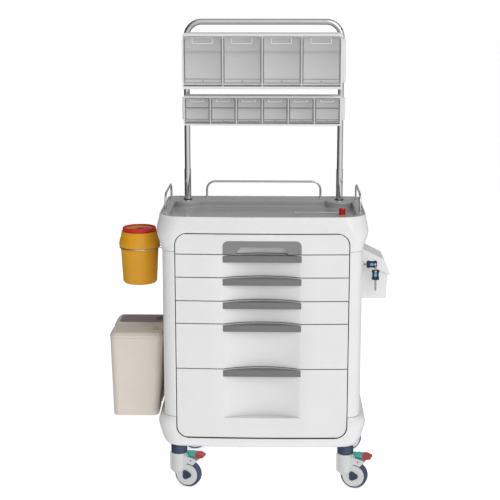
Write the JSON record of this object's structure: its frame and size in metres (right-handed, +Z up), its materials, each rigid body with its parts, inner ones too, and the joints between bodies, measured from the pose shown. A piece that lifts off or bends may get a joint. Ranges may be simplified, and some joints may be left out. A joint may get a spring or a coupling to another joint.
{
  "type": "crash cart",
  "caption": "Moulded hospital cart with stacked drawers, tray worktop, tubular bridge with tilt bins, casters, side bins and sharps holder.",
  "frame": {"origin": "on the floor, at the middle of the whole object's footprint box", "axes": "+Z up along the height, front and drawers towards -Y, +X to the right as seen from the front"},
  "size_m": [1.0336, 0.4798, 1.696],
  "materials": {
    "white_shell": "satin moulded plastic",
    "drawer_white": "satin moulded plastic",
    "worktop_grey": "glossy moulded plastic",
    "pull_grey": "fine grained plastic",
    "frame_steel": "powder coated",
    "slide_steel": "zinc plated",
    "chrome_tube": "polished",
    "cabinet_white": "satin moulded plastic",
    "clear_bin": "clear smoke plastic",
    "navy_plastic": "satin",
    "fork_grey": "satin moulded plastic",
    "wheel_navy": "polyurethane tread",
    "pedal_teal": "satin, crimson tip",
    "sharps_yellow": "satin polypropylene",
    "sharps_red": "satin polypropylene",
    "bracket_steel": "polished wire and plate",
    "waste_beige": "satin champagne",
    "waste_lid_beige": "satin champagne",
    "box_white": "satin moulded plastic",
    "lock_chrome": "polished",
    "key_black": "key head moulding on a steel blade",
    "knob_red": "glossy",
    "rod_steel": "bright drawn wire"
  },
  "bodies": {
    "cart": {"chassis_frame": "frame_steel", "base_shell": "white_shell", "side_panels": "white_shell", "back_panel": "white_shell", "top_shell": "white_shell", "worktop": "worktop_grey", "guard_rails": "chrome_tube", "slide_channels": "slide_steel", "post_sleeves": "chrome_tube", "lock_barrel": "lock_chrome", "caster_stems": "navy_plastic", "side_brackets": "bracket_steel", "waste_bins": "waste_beige", "storage_box": "box_white"},
    "mast": {"mast_tube": "chrome_tube", "upper_cabinet": "cabinet_white", "lower_cabinet": "cabinet_white", "bin_brackets": "cabinet_white"},
    "upper_bin_1": {"upper_bin_1": "clear_bin"},
    "upper_bin_2": {"upper_bin_2": "clear_bin"},
    "upper_bin_3": {"upper_bin_3": "clear_bin"},
    "upper_bin_4": {"upper_bin_4": "clear_bin"},
    "lower_bin_1": {"lower_bin_1": "clear_bin"},
    "lower_bin_2": {"lower_bin_2": "clear_bin"},
    "lower_bin_3": {"lower_bin_3": "clear_bin"},
    "lower_bin_4": {"lower_bin_4": "clear_bin"},
    "lower_bin_5": {"lower_bin_5": "clear_bin"},
    "lower_bin_6": {"lower_bin_6": "clear_bin"},
    "drawer_1": {"drawer_1": "drawer_white", "pull_1": "pull_grey"},
    "drawer_2": {"drawer_2": "drawer_white", "pull_2": "pull_grey"},
    "drawer_3": {"drawer_3": "drawer_white", "pull_3": "pull_grey"},
    "drawer_4": {"drawer_4": "drawer_white", "pull_4": "pull_grey"},
    "drawer_5": {"drawer_5": "drawer_white", "pull_5": "pull_grey"},
    "drawer_6": {"drawer_6": "drawer_white", "pull_6": "pull_grey"},
    "caster_front_left": {"fork_front_left": "fork_grey"},
    "wheel_front_left": {"wheel_front_left": "wheel_navy"},
    "pedal_front_left": {"brake_pedal_front_left": "pedal_teal"},
    "caster_front_right": {"fork_front_right": "fork_grey"},
    "wheel_front_right": {"wheel_front_right": "wheel_navy"},
    "pedal_front_right": {"brake_pedal_front_right": "pedal_teal"},
    "caster_rear_left": {"fork_rear_left": "fork_grey"},
    "wheel_rear_left": {"wheel_rear_left": "wheel_navy"},
    "caster_rear_right": {"fork_rear_right": "fork_grey"},
    "wheel_rear_right": {"wheel_rear_right": "wheel_navy"},
    "sharps_bucket": {"sharps_bucket": "sharps_yellow"},
    "sharps_lid": {"sharps_lid": "sharps_red"},
    "waste_lid_front": {"waste_lid_front": "waste_lid_beige"},
    "waste_lid_rear": {"waste_lid_rear": "waste_lid_beige"},
    "storage_lid": {"storage_box_lid": "box_white"},
    "lock_key": {"lock_key": "key_black"},
    "hanging_key": {"hanging_key": "key_black"},
    "seal_knob": {"red_knob": "knob_red", "seal_rod": "rod_steel"}
  },
  "joints": [
    {"name": "mast_height", "type": "slide", "parent": "cart", "child": "mast", "axis": [0, 0, 1], "range_m": [0, 0.12]},
    {"name": "upper_bin_1_tilt", "type": "hinge", "parent": "mast", "child": "upper_bin_1", "pos_m": [0.04531, -0.003, 1.4685], "axis": [1, 0, 0], "range_deg": [0, 42]},
    {"name": "upper_bin_2_tilt", "type": "hinge", "parent": "mast", "child": "upper_bin_2", "pos_m": [0.04531, -0.003, 1.4685], "axis": [1, 0, 0], "range_deg": [0, 42]},
    {"name": "upper_bin_3_tilt", "type": "hinge", "parent": "mast", "child": "upper_bin_3", "pos_m": [0.04531, -0.003, 1.4685], "axis": [1, 0, 0], "range_deg": [0, 42]},
    {"name": "upper_bin_4_tilt", "type": "hinge", "parent": "mast", "child": "upper_bin_4", "pos_m": [0.04531, -0.003, 1.4685], "axis": [1, 0, 0], "range_deg": [0, 42]},
    {"name": "lower_bin_1_tilt", "type": "hinge", "parent": "mast", "child": "lower_bin_1", "pos_m": [0.04531, 0.068, 1.3265], "axis": [1, 0, 0], "range_deg": [0, 42]},
    {"name": "lower_bin_2_tilt", "type": "hinge", "parent": "mast", "child": "lower_bin_2", "pos_m": [0.04531, 0.068, 1.3265], "axis": [1, 0, 0], "range_deg": [0, 42]},
    {"name": "lower_bin_3_tilt", "type": "hinge", "parent": "mast", "child": "lower_bin_3", "pos_m": [0.04531, 0.068, 1.3265], "axis": [1, 0, 0], "range_deg": [0, 42]},
    {"name": "lower_bin_4_tilt", "type": "hinge", "parent": "mast", "child": "lower_bin_4", "pos_m": [0.04531, 0.068, 1.3265], "axis": [1, 0, 0], "range_deg": [0, 42]},
    {"name": "lower_bin_5_tilt", "type": "hinge", "parent": "mast", "child": "lower_bin_5", "pos_m": [0.04531, 0.068, 1.3265], "axis": [1, 0, 0], "range_deg": [0, 42]},
    {"name": "lower_bin_6_tilt", "type": "hinge", "parent": "mast", "child": "lower_bin_6", "pos_m": [0.04531, 0.068, 1.3265], "axis": [1, 0, 0], "range_deg": [0, 42]},
    {"name": "drawer_1_slide", "type": "slide", "parent": "cart", "child": "drawer_1", "axis": [0, -1, 0], "range_m": [0, 0.34]},
    {"name": "drawer_2_slide", "type": "slide", "parent": "cart", "child": "drawer_2", "axis": [0, -1, 0], "range_m": [0, 0.34]},
    {"name": "drawer_3_slide", "type": "slide", "parent": "cart", "child": "drawer_3", "axis": [0, -1, 0], "range_m": [0, 0.34]},
    {"name": "drawer_4_slide", "type": "slide", "parent": "cart", "child": "drawer_4", "axis": [0, -1, 0], "range_m": [0, 0.34]},
    {"name": "drawer_5_slide", "type": "slide", "parent": "cart", "child": "drawer_5", "axis": [0, -1, 0], "range_m": [0, 0.34]},
    {"name": "drawer_6_slide", "type": "slide", "parent": "cart", "child": "drawer_6", "axis": [0, -1, 0], "range_m": [0, 0.34]},
    {"name": "swivel_front_left", "type": "hinge", "parent": "cart", "child": "caster_front_left", "pos_m": [-0.25569, -0.188, 0.13], "axis": [0, 0, 1], "continuous": true},
    {"name": "wheel_spin_front_left", "type": "hinge", "parent": "caster_front_left", "child": "wheel_front_left", "pos_m": [-0.22222, -0.19824, 0.05], "axis": [-0.2924, -0.9563, 0], "continuous": true},
    {"name": "brake_front_left", "type": "hinge", "parent": "caster_front_left", "child": "pedal_front_left", "pos_m": [-0.22222, -0.19824, 0.127], "axis": [0.2924, 0.9563, 0], "range_deg": [0, 8]},
    {"name": "swivel_front_right", "type": "hinge", "parent": "cart", "child": "caster_front_right", "pos_m": [0.35731, -0.188, 0.13], "axis": [0, 0, 1], "continuous": true},
    {"name": "wheel_spin_front_right", "type": "hinge", "parent": "caster_front_right", "child": "wheel_front_right", "pos_m": [0.39078, -0.19824, 0.05], "axis": [-0.2924, -0.9563, 0], "continuous": true},
    {"name": "brake_front_right", "type": "hinge", "parent": "caster_front_right", "child": "pedal_front_right", "pos_m": [0.39078, -0.19824, 0.127], "axis": [0.2924, 0.9563, 0], "range_deg": [0, 8]},
    {"name": "swivel_rear_left", "type": "hinge", "parent": "cart", "child": "caster_rear_left", "pos_m": [-0.25569, 0.18, 0.13], "axis": [0, 0, 1], "continuous": true},
    {"name": "wheel_spin_rear_left", "type": "hinge", "parent": "caster_rear_left", "child": "wheel_rear_left", "pos_m": [-0.22145, 0.18727, 0.05], "axis": [0.2079, -0.9781, 0], "continuous": true},
    {"name": "swivel_rear_right", "type": "hinge", "parent": "cart", "child": "caster_rear_right", "pos_m": [0.35731, 0.18, 0.13], "axis": [0, 0, 1], "continuous": true},
    {"name": "wheel_spin_rear_right", "type": "hinge", "parent": "caster_rear_right", "child": "wheel_rear_right", "pos_m": [0.39155, 0.18727, 0.05], "axis": [0.2079, -0.9781, 0], "continuous": true},
    {"name": "sharps_lift", "type": "slide", "parent": "cart", "child": "sharps_bucket", "axis": [0, 0, 1], "range_m": [0, 0.15]},
    {"name": "sharps_lid_turn", "type": "hinge", "parent": "sharps_bucket", "child": "sharps_lid", "pos_m": [-0.40769, -0.02, 0.936], "axis": [0, 0, 1], "range_deg": [0, 150]},
    {"name": "waste_lid_front_hinge", "type": "hinge", "parent": "cart", "child": "waste_lid_front", "pos_m": [-0.51419, 0.01, 0.5482], "axis": [0, -1, 0], "range_deg": [0, 45]},
    {"name": "waste_lid_rear_hinge", "type": "hinge", "parent": "cart", "child": "waste_lid_rear", "pos_m": [-0.51419, 0.01, 0.5482], "axis": [0, -1, 0], "range_deg": [0, 45]},
    {"name": "storage_lid_hinge", "type": "hinge", "parent": "cart", "child": "storage_lid", "pos_m": [0.41031, -0.002, 0.8775], "axis": [0, -1, 0], "range_deg": [0, 90]},
    {"name": "lock_turn", "type": "hinge", "parent": "cart", "child": "lock_key", "pos_m": [0.40731, -0.14, 0.832], "axis": [1, 0, 0], "range_deg": [0, 45]},
    {"name": "hanging_key_level", "type": "hinge", "parent": "lock_key", "child": "hanging_key", "pos_m": [0.45831, -0.14, 0.832], "axis": [1, 0, 0], "range_deg": [-45, 0]},
    {"name": "seal_knob_turn", "type": "hinge", "parent": "cart", "child": "seal_knob", "pos_m": [0.34131, -0.014, 1], "axis": [0, 0, 1], "range_deg": [0, 60]}
  ],
  "couplings": [
    {"joint": "hanging_key_level", "follows": "lock_turn", "ratio": -1}
  ]
}
